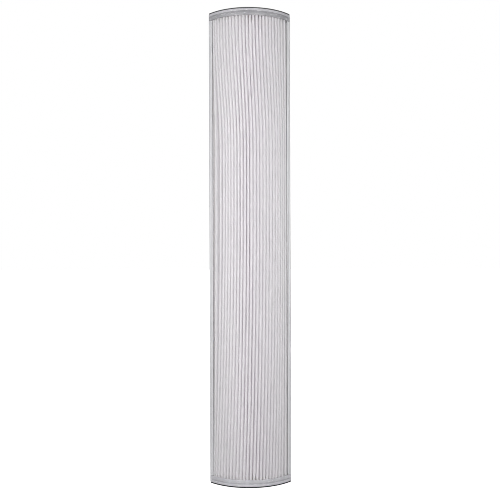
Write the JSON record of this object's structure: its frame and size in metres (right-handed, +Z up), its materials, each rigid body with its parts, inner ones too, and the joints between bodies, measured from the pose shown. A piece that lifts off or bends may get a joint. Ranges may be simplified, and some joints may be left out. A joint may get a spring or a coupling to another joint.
{
  "type": "filter cartridge",
  "caption": "Tall curved panel filter cartridge: a pleated white sheet bonded into a slim four-sided plastic frame with foam seals.",
  "frame": {"origin": "middle of the bounding box on the bottom face, so the cartridge stands on z = 0", "axes": "+Z up along the pleats, -Y out of the convex front face, +Y out of the concave back, +X to the right seen from the front"},
  "size_m": [0.09, 0.0364, 0.52],
  "materials": {
    "sheet": "soft white nonwoven filter sheet",
    "frame": "satin, pale grey, slightly translucent moulded plastic",
    "adhesive": "set hot-melt adhesive, milky and smooth",
    "foam": "dark closed-cell foam tape"
  },
  "bodies": {
    "root": {"pleated_sheet": "sheet", "end_cap_bottom": "frame", "end_cap_top": "frame", "side_rail_left": "frame", "side_rail_right": "frame", "side_bond_left": "adhesive", "side_bond_right": "adhesive", "potting_bottom": "adhesive", "potting_top": "adhesive", "spacer_thread_1": "adhesive", "spacer_thread_2": "adhesive", "spacer_thread_3": "adhesive", "spacer_thread_4": "adhesive", "spacer_thread_5": "adhesive", "side_gasket_left": "foam", "side_gasket_right": "foam", "end_gasket_bottom": "foam", "end_gasket_top": "foam"}
  },
  "joints": []
}
